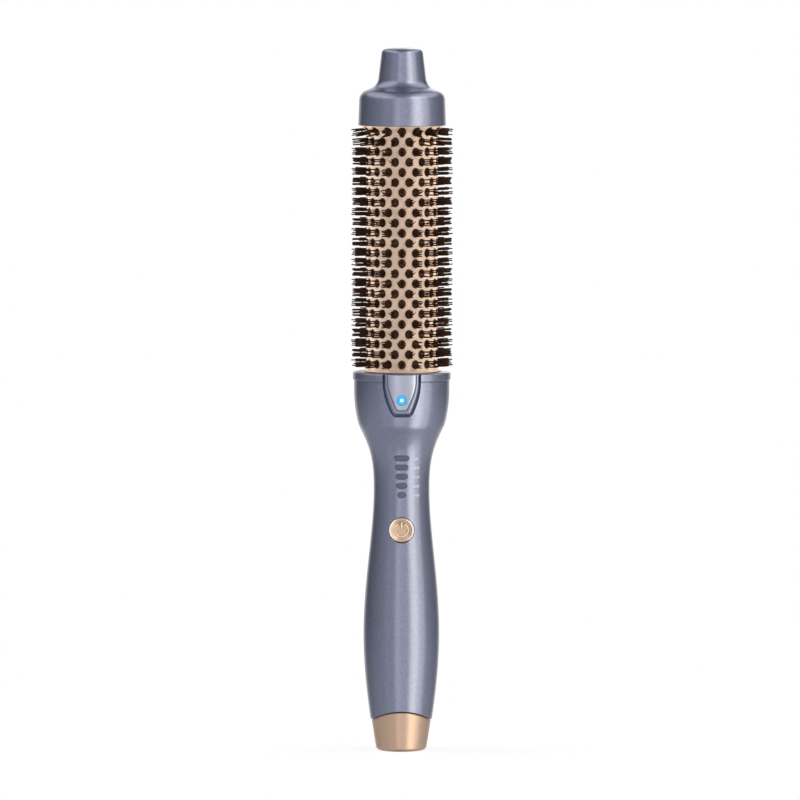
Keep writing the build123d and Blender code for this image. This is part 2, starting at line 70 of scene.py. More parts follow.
def top_of(node):
    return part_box(node)[1].z / MM


def bottom_of(node):
    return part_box(node)[0].z / MM


def middle_of(node):
    return (top_of(node) + bottom_of(node)) / 2


def reach_of(node):
    """How far a node reaches to the brush's right."""
    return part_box(node)[1].x / MM


# ---- Heights and radii that the frame gives ------------------------------------------------------
rim_top = top_of("collar_ring")
rim_r = reach_of("collar_ring")
handle_top = top_of("handle_rear_shell")
bowl_r = reach_of("handle_rear_shell")
barrel_top = top_of("barrel")
barrel_bottom = bottom_of("barrel")
tip_top = top_of("tip_cap")
tip_bottom = bottom_of("tip_cap")
tuft_reach = reach_of("bristle_tufts")
button_z = middle_of("power_button")
button_face_depth = -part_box("power_button")[0].y / MM
port_z = middle_of("ion_port_lens")

# ---- Sizes of what is drawn ----------------------------------------------------------------------
parting = 0.12
seam_groove = 0.3
seam_side_z = 13.5
seam_rise = 4.6
arch_fades_z = 46.0     # the seam's arch bends the rings of the handle up to here
shell_wall = 2.1
# height, radius and slope of the grip's outline at each of its stations
grip_stations = (
    (13.3, 13.72, 0.15),
    (52.8, 17.08, -0.001),
    (86.2, 14.9, -0.105),
    (120.0, 12.54, 0.014),
    (134.8, 14.28, 0.278),
    (146.8, bowl_r - 2.16, 0.5),
)
bowl_z = 162.8
rim_edge = 0.9
barrel_r = 16.0
barrel_wall = 1.0
row_count = 24
row_pitch = 4.535
first_row_z = barrel_top - 2.4
stagger_restart = 13    # the row that isn't staggered against the one above it
tufts_per_row = 16
hole_size = (3.45, 4.05)
top_hang = 8            # degrees by which the first row hangs towards the handle, fading to none
hanging_rows = 3
right_lift = 3          # degrees by which tufts on the brush's right lift towards the tip
tuft_sway = 0.8         # degrees
stray_share = 0.6       # share of the tufts with a stray filament
tongue_half = 8.5
tongue_foot_half = 4.4
tongue_straight = 3.0
tongue_foot_z = rim_top - 19.2
tongue_lean = 0.42      # how far the tongue's flank leans out for each millimetre up at its foot
tongue_corner = 1.9
tongue_border = 2.0
tongue_foot_border = 2.7
tongue_thickness = 2.6
rim_proud = rim_r - bowl_r
step_z = handle_top + 0.7
lining_r = bowl_r - shell_wall - 0.2
bar_height = 2.2
bar_pitch = 4.16
top_bar_z = 132.7
bar_widths = (6.6, 5.7, 5.3, 4.7, 3.6)
bars = [(width, top_bar_z - bar_pitch * number) for number, width in enumerate(bar_widths)]
button_r = 5.5
symbol_r = 3.0
symbol_half = 0.28
stem_length = 2.9
dish_ring_pitch = 0.25
dish_ring_depth = 0.016


def even_steps(low, high, steps):
    """Values from low to high, this many even steps apart, with both ends."""
    return [low + (high - low) * step / steps for step in range(steps + 1)]


def hermite(t, low, low_slope, high, high_slope):
    """A smooth step from low to high as t goes from 0 to 1, with these slopes at its ends."""
    return (
        (2 * t**3 - 3 * t**2 + 1) * low
        + (t**3 - 2 * t**2 + t) * low_slope
        + (3 * t**2 - 2 * t**3) * high
        + (t**3 - t**2) * high_slope
    )


def handle_radius(z):
    """Outside radius of the handle at a height: the grip, the arc of the bowl, then its wall."""
    crease_z, crease_r, _ = grip_stations[-1]
    if z >= bowl_z:
        return bowl_r
    if z >= crease_z:
        drop, rise = bowl_r - crease_r, bowl_z - crease_z
        bend = (drop**2 + rise**2) / (2 * drop)
        return bowl_r - bend + math.sqrt(bend**2 - (bowl_z - z) ** 2)
    for low, high in zip(grip_stations, grip_stations[1:]):
        (low_z, low_r, low_slope), (high_z, high_r, high_slope) = low, high
        if z <= high_z:
            span = high_z - low_z
            return hermite((z - low_z) / span, low_r, low_slope * span, high_r, high_slope * span)


def on_handle(x, z, lift):
    """A point on the front of the handle, this far out from its skin."""
    radius = handle_radius(z) + lift
    return Vector((x, -math.sqrt(radius**2 - x**2), z))


def seam_lift(x):
    """How far the end cap's arched seam rises over its height at the sides."""
    foot_r = grip_stations[0][1]
    bend = (foot_r**2 + seam_rise**2) / (2 * seam_rise)
    reach = min(abs(x), foot_r)
    return math.sqrt(bend**2 - reach**2) - math.sqrt(bend**2 - foot_r**2)


# ---- Shader maths --------------------------------------------------------------------------------
class Field:
    """A number that varies over a surface. Sums and products of fields add Math nodes."""

    def __init__(self, finish, socket):
        self.finish = finish
        self.socket = socket

    def __add__(self, other):
        return self.finish.math("ADD", self, other)

    def __sub__(self, other):
        return self.finish.math("SUBTRACT", self, other)

    def __rsub__(self, other):
        return self.finish.math("SUBTRACT", other, self)

    def __mul__(self, other):
        return self.finish.math("MULTIPLY", self, other)

    __radd__ = __add__
    __rmul__ = __mul__


class Finish:
    """A material, and the one method that makes each of its nodes."""

    def __init__(self, name, tree=None):
        if tree is None:
            self.material = bpy.data.materials.new(name)
            self.material.use_nodes = True
            tree = self.material.node_tree
        self.tree = tree
        self.tree.nodes.clear()

    def node(self, kind, settings=None, inputs=None):
        made = self.tree.nodes.new("ShaderNode" + kind)
        for key, value in (settings or {}).items():
            setattr(made, key, value)
        for key, value in (inputs or {}).items():
            link = getattr(value, "socket", value)
            if isinstance(link, bpy.types.NodeSocket):
                self.tree.links.new(link, made.inputs[key])
            else:
                made.inputs[key].default_value = value
        return made

    def math(self, operation, first, second=0.0):
        made = self.node("Math", {"operation": operation}, {0: first, 1: second})
        return Field(self, made.outputs[0])

    def vector(self, operation, *values):
        """Vector Math. A length or a dot product comes back as a field."""
        made = self.node("VectorMath", {"operation": operation}, dict(enumerate(values)))
        if operation in ("LENGTH", "DOT_PRODUCT"):
            return Field(self, made.outputs["Value"])
        return made.outputs[0]

    def parts(self, vector):
        """The x, y and z of a vector, each as a field."""
        return [Field(self, part) for part in self.node("SeparateXYZ", None, {0: vector}).outputs]

    def place(self):
        """Object coordinates, in metres in the brush's own frame."""
        return self.node("TexCoord").outputs["Object"]

    def outwards(self):
        """A vector from the brush's axis straight out to the place."""
        return self.vector("MULTIPLY", self.place(), (1, 1, 0))

    def from_axis(self):
        """Distance from the brush's axis, in millimetres."""
        return self.vector("LENGTH", self.outwards()) * (1 / MM)

    def noise(self, scale, detail=2.0, stretch=(1, 1, 1)):
        """Noise from 0 to 1. Its lumps are longer along an axis where stretch is over 1."""
        scales = [1 / share for share in stretch]
        squeeze = self.node("Mapping", None, {"Vector": self.place(), "Scale": scales})
        settings = {"Vector": squeeze.outputs[0], "Scale": scale, "Detail": detail}
        return Field(self, self.node("TexNoise", None, settings).outputs["Fac"])

    def ramp(self, field, low, high, from_value=0.0, to_value=1.0):
        """Goes smoothly from one value to the other as the field goes from low to high."""
        made = self.node("MapRange", {"interpolation_type": "SMOOTHSTEP"}, {
            "Value": field,
            "From Min": low,
            "From Max": high,
            "To Min": from_value,
            "To Max": to_value,
        })
        return Field(self, made.outputs["Result"])

    def blend(self, amount, first, second):
        """A colour between two others."""
        made = self.node("Mix", {"data_type": "RGBA"}, {0: amount, 6: first, 7: second})
        return made.outputs[2]

    def bump(self, field, distance, strength=1.0):
        """A normal for ridges as high as the distance, in metres."""
        settings = {"Height": field, "Distance": distance, "Strength": strength}
        return self.node("Bump", None, settings).outputs[0]

    def surface(self, **inputs):
        """The material's own shader, with plain values or links on its sockets."""
        named = {key.replace("_", " "): value for key, value in inputs.items()}
        shader = self.node("BsdfPrincipled", None, named)
        self.node("OutputMaterial", None, {"Surface": shader.outputs[0]})
        return self.material


def shade(red, green, blue):
    """A colour given as it looks on a screen, from 0 to 255, as the shader's linear colour."""
    def linear(value):
        value /= 255
        return value / 12.92 if value <= 0.04045 else ((value + 0.055) / 1.055) ** 2.4

    return (linear(red), linear(green), linear(blue), 1.0)


# ---- Finishes ------------------------------------------------------------------------------------
def pearl_lacquer(name, deep, light):
    """Blue-grey lacquer with fine pearl flakes under a clear coat."""
    finish = Finish(name)
    cloud = finish.noise(900, 3.0)
    flake = finish.noise(5200, 1.0)
    mottle = finish.ramp(cloud * 0.55 + flake * 0.45, 0.36, 0.64)
    return finish.surface(
        Base_Color=finish.blend(mottle, deep, light),
        Metallic=0.93,
        Roughness=finish.ramp(flake, 0.3, 0.7, 0.28, 0.36),
        Coat_Weight=1.0,
        Coat_Roughness=0.15,
        Coat_IOR=1.6,
        Normal=finish.bump(flake, 0.00002, 0.25),
    )


def satin_gold(name, deep, light, roughness, stretch, metallic=0.85, coat=0.0):
    """Champagne gold with the faint streaks of its turning or brushing."""
    finish = Finish(name)
    streak = finish.noise(9000, 2.0, stretch)
    cloud = finish.noise(420, 2.0)
    worn = finish.ramp(streak * 0.8 + cloud * 0.2, 0.3, 0.7)
    return finish.surface(
        Base_Color=finish.blend(worn, deep, light),
        Metallic=metallic,
        Roughness=finish.ramp(streak, 0.3, 0.7, roughness - 0.04, roughness + 0.05),
        Coat_Weight=coat,
        Coat_Roughness=0.12,
        Normal=finish.bump(streak, 0.00001, 0.2),
    )


def spun_gold():
    """The button: a dish of fine turned rings, with painted shade in the corners round its symbol and a
    painted highlight on its rim, palest at the sides.
    """
    finish = Finish("spun_gold")
    x, _, z = finish.parts(finish.place())
    across, up = finish.math("ABSOLUTE", x * (1 / MM)), z * (1 / MM) - button_z
    radius = finish.math("SQRT", across * across + up * up)
    turned = finish.math("SINE", radius * (math.tau / dish_ring_pitch))
    rings = turned * finish.ramp(radius, 0.5, 4.8, 0.3, 1)
    # Painted shade round the raised symbol: the dish darkens beside the ring and beside the stem.
    shade_by_ring = finish.ramp(finish.math("ABSOLUTE", radius - symbol_r), 0.25, 0.8, 1, 0)
    stem_shade_span = finish.ramp(up, 0.2, 1) * finish.ramp(up, 3.6, 4.4, 1, 0)
    shade_by_stem = finish.ramp(across, 0.3, 1, 1, 0) * stem_shade_span
    corner = finish.math("MAXIMUM", shade_by_ring, shade_by_stem)
    # Painted highlight: the rim turns pale and less metallic, most of all at its left and right sides.
    rim = finish.ramp(radius, button_r - 0.75, button_r - 0.4) * finish.ramp(across, 1.2, 4, 0.25, 1)
    streak = finish.noise(9000, 2.0)
    gold = finish.blend(streak, shade(206, 176, 152), shade(216, 187, 163))
    # The gold with that painted shade laid over it round the symbol.
    dish = finish.blend(corner * 0.75, gold, shade(150, 112, 84))
    return finish.surface(
        Base_Color=finish.blend(rim * 0.8, dish, shade(252, 240, 228)),
        Metallic=0.85 - rim * 0.55,
        Roughness=finish.ramp(streak, 0.3, 0.7, 0.24, 0.3),
        Coat_Weight=0.3,
        Coat_Roughness=0.12,
        Normal=finish.bump(rings, dish_ring_depth * MM),
    )


def moulded(name, deep, light, roughness, grain=1500, metallic=0.0):
    """A plain moulded, fired or plated finish with a fine grain."""
    finish = Finish(name)
    cloud = finish.noise(grain / 6, 2.0)
    pores = finish.noise(grain, 3.0)
    tone = finish.ramp(cloud * 0.5 + pores * 0.5, 0.36, 0.64)
    return finish.surface(
        Base_Color=finish.blend(tone, deep, light),
        Metallic=metallic,
        Roughness=finish.ramp(pores, 0.3, 0.7, roughness - 0.05, roughness + 0.05),
        Normal=finish.bump(pores, 0.00003, 0.3),
    )


def bristle_nylon():
    """Dark brown filament, a little lighter towards its tips, with painted shade that turns the faces
    looking out from the axis, such as its cut ends, nearly black.
    """
    finish = Finish("bristle_nylon")
    away = finish.vector("NORMALIZE", finish.outwards())
    shaded_end_facing = finish.vector("DOT_PRODUCT", away, finish.node("TexCoord").outputs["Normal"])
    reach = finish.ramp(finish.from_axis(), barrel_r + 0.5, tuft_reach)
    fleck = finish.noise(2600, 1.0)
    side = finish.blend(reach * 0.3 + fleck * 0.3, shade(38, 19, 9), shade(68, 39, 22))
    return finish.surface(
        # Painted shade: faces that look out from the axis, such as the cut ends, go nearly black.
        Base_Color=finish.blend(finish.ramp(shaded_end_facing, 0.3, 0.7, 0, 0.85), side, shade(12, 6, 3)),
        Roughness=finish.ramp(fleck, 0.3, 0.7, 0.42, 0.54),
        Specular_IOR_Level=0.12,
    )


def cupped_nylon():
    """The knots of the tufts: brown at their rims, with painted shade that goes nearly black where they are
    deep in the holes.
    """
    finish = Finish("cupped_nylon")
    # Painted shade: the deeper a point lies in its hole, the darker it is.
    rise = finish.ramp(finish.from_axis(), barrel_r - 1, barrel_r - 0.4)
    fleck = finish.noise(2600, 1.0)
    return finish.surface(
        Base_Color=finish.blend(rise, shade(18, 10, 6), shade(94, 62, 43)),
        Roughness=finish.ramp(fleck, 0.3, 0.7, 0.6, 0.75),
        Specular_IOR_Level=0.2,
    )


def port_light():
    """Lit blue window, paler towards its middle."""
    finish = Finish("port_light")
    glow = finish.noise(1400, 1.0)
    return finish.surface(
        Base_Color=shade(20, 90, 150),
        Roughness=finish.ramp(glow, 0.3, 0.7, 0.16, 0.24),
        Emission_Color=finish.blend(glow, shade(34, 176, 246), shade(52, 190, 250)),
        Emission_Strength=0.9,
        Coat_Weight=0.2,
    )


def white_glow():
    """The lit tip of the ion emitter."""
    finish = Finish("white_glow")
    glow = finish.noise(2400, 1.0)
    return finish.surface(
        Base_Color=shade(250, 252, 255),
        Roughness=finish.ramp(glow, 0.3, 0.7, 0.25, 0.35),
        Emission_Color=finish.blend(glow, shade(244, 251, 255), shade(255, 255, 255)),
        Emission_Strength=1.0,
    )


pearl = pearl_lacquer("pearl_lacquer", shade(133, 138, 165), shade(145, 150, 177))
# A lighter copy of the pearl lacquer for the ion plate: painted light, for a plate that faces the lamps more
# squarely than its surround.
painted_lit_pearl = pearl_lacquer("painted_lit_pearl_lacquer", shade(172, 176, 195), shade(184, 188, 207))
around_axis, upright = (6, 6, 1), (1, 1, 9)
barrel_gold = satin_gold(
    "barrel_gold", shade(241, 208, 183), shade(250, 219, 198), 0.46, around_axis, metallic=0.05
)
trim_gold = satin_gold("trim_gold", shade(201, 170, 148), shade(209, 178, 157), 0.34, upright, coat=0.4)
symbol_gold = satin_gold(
    "symbol_gold", shade(240, 214, 192), shade(246, 224, 204), 0.3, upright, metallic=0.6
)
button_gold = spun_gold()
filament = bristle_nylon()
knot_brown = cupped_nylon()
carrier_brown = moulded("carrier_brown", shade(52, 31, 19), shade(76, 48, 31), 0.5)
smoked = moulded("smoked_guide", shade(72, 77, 98), shade(82, 87, 108), 0.4)
black_moulding = moulded("black_moulding", shade(32, 32, 35), shade(44, 44, 48), 0.5)
white_ink = moulded("white_ink", shade(190, 192, 206), shade(202, 204, 217), 0.5)
metal_grain = 3000
inner_finishes = {
    name: moulded(name, shade(*deep), shade(*light), *rest)
    for name, deep, light, *rest in (
        ("heat_aluminium", (176, 178, 180), (198, 200, 202), 0.4, metal_grain, 0.9),
        ("heater_ceramic", (222, 217, 204), (238, 234, 223), 0.6),
        ("lead_silicone", (170, 36, 30), (196, 52, 44), 0.55),
        ("board_laminate", (20, 74, 44), (30, 94, 58), 0.4),
        ("component_black", (24, 24, 27), (36, 36, 40), 0.45),
        ("led_white", (236, 236, 224), (248, 248, 240), 0.3),
        ("screw_steel", (158, 158, 162), (182, 182, 186), 0.35, metal_grain, 0.95),
        ("cell_sleeve", (38, 72, 128), (52, 92, 152), 0.35),
        ("nickel", (176, 174, 168), (198, 196, 190), 0.3, metal_grain, 0.95),
    )
}
inner_finishes["carrier_nylon"] = carrier_brown
inner_finishes["emitter_ceramic"] = white_glow()


# ---- Mesh helpers --------------------------------------------------------------------------------
def linked(name, data):
    """A new object in the scene."""
    made = bpy.data.objects.new(name, data)
    bpy.context.scene.collection.objects.link(made)
    return made


def as_mesh(shape, name="stock"):
    mesh = bpy.data.meshes.new(name)
    shape.to_mesh(mesh)
    shape.free()
    return mesh


def as_object(shape, name):
    return linked(name, as_mesh(shape, name))


def settle(shape, name, finish, stands_for=(), body="brush", sharp=32):
    """Ends a mesh: edges over the sharp angle stay crisp, and the piece rides on its body."""
    crisp = math.radians(sharp)
    for face in shape.faces:
        face.smooth = True
    for edge in shape.edges:
        edge.smooth = len(edge.link_faces) == 2 and edge.calc_face_angle(math.pi) < crisp
    bmesh.ops.scale(shape, vec=(MM, MM, MM), verts=shape.verts)
    piece = as_object(shape, name)
    piece.data.materials.append(finish)
    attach(piece, body)
    if stands_for:
        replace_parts(piece, *stands_for)


def outline(corners, steps):
    """Points through (radius, height, rounding) corners, each turned with an arc of that rounding."""
    points = []
    for number, (radius, height, rounding) in enumerate(corners):
        here = Vector((radius, height))
        if not rounding:
            points.append(here)
            continue
        before = (Vector(corners[number - 1][:2]) - here).normalized()
        after = (Vector(corners[(number + 1) % len(corners)][:2]) - here).normalized()
        half_turn = before.angle(after) / 2
        centre = here + (before + after).normalized() * rounding / math.sin(half_turn)
        start = here + before * rounding / math.tan(half_turn) - centre
        sweep = start.angle_signed(here + after * rounding / math.tan(half_turn) - centre)
        for step in range(steps + 1):
            turned = start.copy()
            turned.rotate(Matrix.Rotation(-sweep * step / steps, 2))
            points.append(centre + turned)
    return points


def chain(shape, points, ring):
    """New points joined one to the next, and the last to the first where ring is true."""
    verts = [shape.verts.new(point) for point in points]
    pairs = list(zip(verts, verts[1:])) + ([(verts[-1], verts[0])] if ring else [])
    return verts, [shape.edges.new(pair) for pair in pairs]


def lathe(points, closed=True, steps=160):
    """A shape spun round the brush's axis from an outline of (radius, height) points."""
    shape = bmesh.new()
    verts, edges = chain(shape, [(radius, 0, height) for radius, height in points], closed)
    bmesh.ops.spin(
        shape, geom=verts + edges, cent=(0, 0, 0), axis=(0, 0, 1), angle=math.tau, steps=steps,
        use_merge=True,
    )
    bmesh.ops.remove_doubles(shape, verts=shape.verts, dist=1e-4)
    bmesh.ops.recalc_face_normals(shape, faces=shape.faces)
    return shape


def loft(sections, ring=True, shape=None, close=False):
    """Joins one outline to the next. Each is a loop of points, or a chain where ring is false."""
    shape = shape or bmesh.new()
    rows = []
    for points in sections:
        _, edges = chain(shape, points, ring)
        rows.append(edges)
    joins = list(zip(rows, rows[1:])) + ([(rows[-1], rows[0])] if close else [])
    for low, high in joins:
        bmesh.ops.bridge_loops(shape, edges=low + high)
    return shape, rows


def close_ends(shape):
    """Fills each open loop of edges with one face, then turns every face outwards."""
    open_edges = [edge for edge in shape.edges if edge.is_boundary or edge.is_wire]
    bmesh.ops.edgeloop_fill(shape, edges=open_edges)
    bmesh.ops.recalc_face_normals(shape, faces=shape.faces)
    return shape


def block(sections):
    """A closed shape lofted through the sections."""
    shape, _ = loft(sections)
    return close_ends(shape)


def flattened(piece):
    """The mesh of an object once its modifiers or its curves are worked out."""
    return bpy.data.meshes.new_from_object(piece.evaluated_get(bpy.context.evaluated_depsgraph_get()))


def carve(shape, *cutters):
    """The shape with the cutters' shapes taken out of it."""
    blank = as_object(shape, "blank")
    tools = [as_object(cutter, "cutter") for cutter in cutters]
    for tool in tools:
        cut = blank.modifiers.new("cut", "BOOLEAN")
        cut.operation, cut.solver, cut.object = "DIFFERENCE", "EXACT", tool
    cut_mesh = flattened(blank)
    carved = bmesh.new()
    carved.from_mesh(cut_mesh)
    for used in (blank, *tools):
        bpy.data.meshes.remove(used.data)
    bpy.data.meshes.remove(cut_mesh)
    bmesh.ops.remove_doubles(carved, verts=carved.verts, dist=1e-4)
    return carved


def facing_front(shape, height):
    """Turns a shape built along +Z to the front; its heights become depths from the brush's axis."""
    forwards = Matrix.Rotation(math.pi / 2, 3, "X")
    bmesh.ops.rotate(shape, verts=shape.verts, cent=(0, 0, 0), matrix=forwards)
    bmesh.ops.translate(shape, verts=shape.verts, vec=(0, 0, height))
    return shape


# ---- Outlines in the front view, as (x, z) points ------------------------------------------------
def slot_outline(width, height, centre_z, grow=0.0):
    """A slot with round ends."""
    steps = 10
    radius = height / 2 + grow
    reach = (width - height) / 2
    points = []
    for side in (1, -1):
        for step in range(steps + 1):
            turn = math.pi * step / steps - math.pi / 2
            x, rise = reach + radius * math.cos(turn), radius * math.sin(turn)
            points.append((side * x, centre_z + side * rise))
    return points


def circle_outline(radius, centre_z, steps=64):
    turns = [math.tau * step / steps for step in range(steps)]
    return [(radius * math.cos(turn), centre_z + radius * math.sin(turn)) for turn in turns]


def tongue_side(inset):
    """The tongue's right-hand edge, drawn in by this much, from the rim round the foot's corner."""
    foot_inset = inset * tongue_foot_border / tongue_border
    shoulder = Vector((tongue_half - inset, rim_top - tongue_straight))
    foot = Vector((tongue_foot_half - inset, tongue_foot_z + foot_inset))
    lean = Vector((tongue_lean, 1)).normalized()
    corner = max(tongue_corner - inset * 0.35, 0.9)
    reach = (shoulder - foot).length / 3
    flank_end = foot + lean * corner
    below_shoulder, above_end = shoulder - Vector((0, reach)), flank_end + lean * reach
    flank = interpolate_bezier(shoulder, below_shoulder, above_end, flank_end, 18)
    turn_end = foot - Vector((corner, 0))
    after_flank, before_end = (flank_end + 2 * foot) / 3, (turn_end + 2 * foot) / 3
    turn = interpolate_bezier(flank_end, after_flank, before_end, turn_end, 8)
    # The points crowd towards the top, where the tongue goes over the rim's rounding.
    drops = (0, 0.05, 0.2, 0.45, 0.9, 1.6, 2.3)
    straight = [Vector((shoulder.x, rim_top - drop)) for drop in drops]
    return straight + list(flank) + list(turn)[1:]


def tongue_outline(inset, over=0.0):
    """The whole U, from the top right round the foot to the top left, run on over the rim."""
    side = tongue_side(inset)
    if over:
        side[0] += Vector((0, over))
    return side + [Vector((-point.x, point.y)) for point in reversed(side)]


def raised(points, lift):
    """Points of a front-view outline, set this far out from the handle's skin."""
    return [on_handle(x, z, lift) for x, z in points]


def rim_rounded(x, z, lift):
    """As on_handle(), with the rim's rounding over the top edge."""
    past = min(max(z - rim_top + rim_edge, 0), rim_edge)
    radius = min(handle_radius(z) + lift, rim_r - rim_edge + math.sqrt(rim_edge**2 - past**2))
    return Vector((x, -math.sqrt(radius**2 - x**2), z))


def window(draw, depth, chamfer):
    """A cutter that goes through the skin along an outline and breaks its edge."""
    clear_of_skin = 3.0
    return block([
        raised(draw(0), -depth),
        raised(draw(0), -chamfer),
        raised(draw(chamfer), 0.02),
        raised(draw(chamfer), clear_of_skin),
    ])


def panel(stations, place, thickness, edge):
    """A curved plate from half widths and heights; place() sets a point on the plate's face."""
    spread = even_steps(-1, 1, 14)
    shape, _ = loft([[place(half * share, z) for share in spread] for half, z in stations], ring=False)
    bmesh.ops.recalc_face_normals(shape, faces=shape.faces)
    if sum(face.normal.y for face in shape.faces) > 0:
        bmesh.ops.reverse_faces(shape, faces=shape.faces)
    face_verts = set(shape.verts)
    bmesh.ops.solidify(shape, geom=shape.faces[:], thickness=thickness)
    rim = [
        link for link in shape.edges
        if link.verts[0] in face_verts and link.verts[1] in face_verts
        and any(not all(vert in face_verts for vert in side.verts) for side in link.link_faces)
    ]
    bmesh.ops.bevel(
        shape, geom=rim, offset=edge, segments=3, profile=0.5, affect="EDGES", material=-1,
        clamp_overlap=True,
    )
    return shape


# ---- Tip -----------------------------------------------------------------------------------------
def make_tip():
    shoulder_z = tip_bottom + 14.4
    knob_foot_z = shoulder_z + 3.3
    roof_z, knob_roof_z = shoulder_z - 3, tip_top - 2.8
    skirt_r, skirt_bore_r = 19.7, 17.8
    corners = [
        # outside, from the crowned top of the knob down to the foot of the skirt
        (0, tip_top, 0),
        (4.8, tip_top - 0.16, 4),
        (9.12, tip_top - 0.65, 2.2),
        (11.09, knob_foot_z, 5.5),
        (skirt_r - 0.56, shoulder_z, 4.7),
        (skirt_r, tip_bottom, 0.2),
        # inside, back up into the knob
        (skirt_bore_r, tip_bottom, 0),
        (skirt_bore_r, roof_z, 1),
        (7.6, roof_z, 0),
        (7.2, knob_roof_z, 1),
        (0, knob_roof_z, 0),
    ]
    shell = lathe(outline(corners, 12), closed=False)
    settle(shell, "tip_cap_shell", pearl, stands_for=["tip_cap"])


# ---- Barrel, with its staggered rows of holes ----------------------------------------------------
def barrel_radius(z):
    """Flares to a lip under the tip."""
    lip, lip_height, lip_top = 2.4, 2.3, barrel_top - 0.3
    return barrel_r + lip * min(max((z - lip_top) / lip_height + 1, 0), 1)


def row_places():
    """Height and turn of every tuft."""
    for row in range(row_count):
        phase = (row if row < stagger_restart else row - stagger_restart) % 2 / 2
        for number in range(tufts_per_row):
            yield first_row_z - row * row_pitch, math.tau * (number + phase) / tufts_per_row


def oval(width, height, depth, steps=24, turn=0.0):
    """Points round a hole, flat in x and z."""
    turns = [math.tau * (step + turn) / steps for step in range(steps)]
    return [(width / 2 * math.cos(t), depth, height / 2 * math.sin(t)) for t in turns]


def wrap(shape):
    """Rolls a flat field, x round and z up, onto the barrel; y is how far out a point stands."""
    for vert in shape.verts:
        round_by, out, z = vert.co
        turn, radius = round_by / barrel_r, barrel_radius(z) + out
        vert.co = (radius * math.sin(turn), -radius * math.cos(turn), z)


def repeat(source, places, shape=None):
    """Copies a mesh to each place, given as a matrix."""
    shape = shape or bmesh.new()
    for place in places:
        before = len(shape.verts)
        shape.from_mesh(source)
        shape.verts.ensure_lookup_table()
        bmesh.ops.transform(shape, matrix=place, verts=shape.verts[before:])
    return shape


def flat_places():
    """The place of every tuft on the barrel's skin, unrolled."""
    for z, turn in row_places():
        yield Matrix.Translation((turn * barrel_r, 0, z))


def make_barrel():
    """One cell round one hole, repeated over the barrel and rolled up, with a plain band at each end."""
    hole_width, hole_height = hole_size
    steps_a_side = 6
    half_width, half_pitch = math.pi * barrel_r / tufts_per_row, row_pitch / 2
    corners = [
        (half_width, -half_pitch),
        (half_width, half_pitch),
        (-half_width, half_pitch),
        (-half_width, -half_pitch),
    ]
    border = []
    for (x, z), (next_x, next_z) in zip(corners, corners[1:] + corners[:1]):
        shares = [step / steps_a_side for step in range(steps_a_side)]
        border += [(x + (next_x - x) * share, 0, z + (next_z - z) * share) for share in shares]
    pressed_edge = ((0.32, 0), (0.1, -0.05), (0, -0.2))
    first_point = -3        # each ring of the hole starts opposite the border's first corner
    cell, _ = loft([border] + [
        oval(hole_width + grow, hole_height + grow, depth, turn=first_point) for grow, depth in pressed_edge
    ])
    tube = repeat(as_mesh(cell), flat_places())
    wrap(tube)
    field_top = first_row_z + half_pitch
    field_bottom = field_top - row_count * row_pitch
    round_steps = steps_a_side * tufts_per_row
    turns = [math.tau * step / round_steps for step in range(round_steps)]
    band_above = (field_top, barrel_top - 0.1, barrel_top)
    band_below = (field_bottom, rim_top, barrel_bottom + 1)
    for heights in (band_above, band_below):
        rings = []
        for z in heights:
            radius = barrel_radius(z)
            rings.append([(radius * math.sin(turn), -radius * math.cos(turn), z) for turn in turns])
        loft(rings, shape=tube)
    bmesh.ops.remove_doubles(tube, verts=tube.verts, dist=0.02)
    bmesh.ops.recalc_face_normals(tube, faces=tube.faces)
    bmesh.ops.solidify(tube, geom=tube.faces[:], thickness=barrel_wall - 0.2)

    # The flared foot stands on the rim: how far it reaches past the barrel, and its height.
    foot = (
        (-0.2, 1.7), (0.02, 1.7), (0.3, 1.1), (0.7, 0.7), (0.85, 0.5), (0.85, 0.34), (-0.2, 0.3),
    )
    tube.from_mesh(as_mesh(lathe([(barrel_r + reach, rim_top + lift) for reach, lift in foot])))
    settle(tube, "barrel_tube", barrel_gold, stands_for=["barrel"], sharp=50)


def make_tuft_plugs():
    """The cupped knots that the tufts grow from, one in each hole."""
    gap, face_depth = 0.06, 0.34
    cup = ((1, 1.6), (1, face_depth), (0.88, face_depth), (0.7, 0.75), (0.35, 1.15))
    width, height = (size - gap for size in hole_size)
    plug = block([oval(width * share, height * share, -depth, 16) for share, depth in cup])
    plugs = repeat(as_mesh(plug), flat_places())
    wrap(plugs)
    settle(plugs, "tuft_plugs", knot_brown)


# ---- Bristles ------------------------------------------------------------------------------------
def strand(shape, points, filament_r):
    """One filament through its points, four-sided and full up to its blunt end."""
    blunt_end = 0.45
    sections = []
    for x, out, z in points:
        radius = filament_r * (blunt_end if len(sections) == len(points) - 1 else 1)
        sections.append([
            (x + radius * math.cos(quarter), -barrel_r - out, z + radius * math.sin(quarter))
            for quarter in (math.pi * (0.25 + step / 2) for step in range(4))
        ])
    _, rows = loft(sections, shape=shape)
    bmesh.ops.edgeloop_fill(shape, edges=rows[-1])


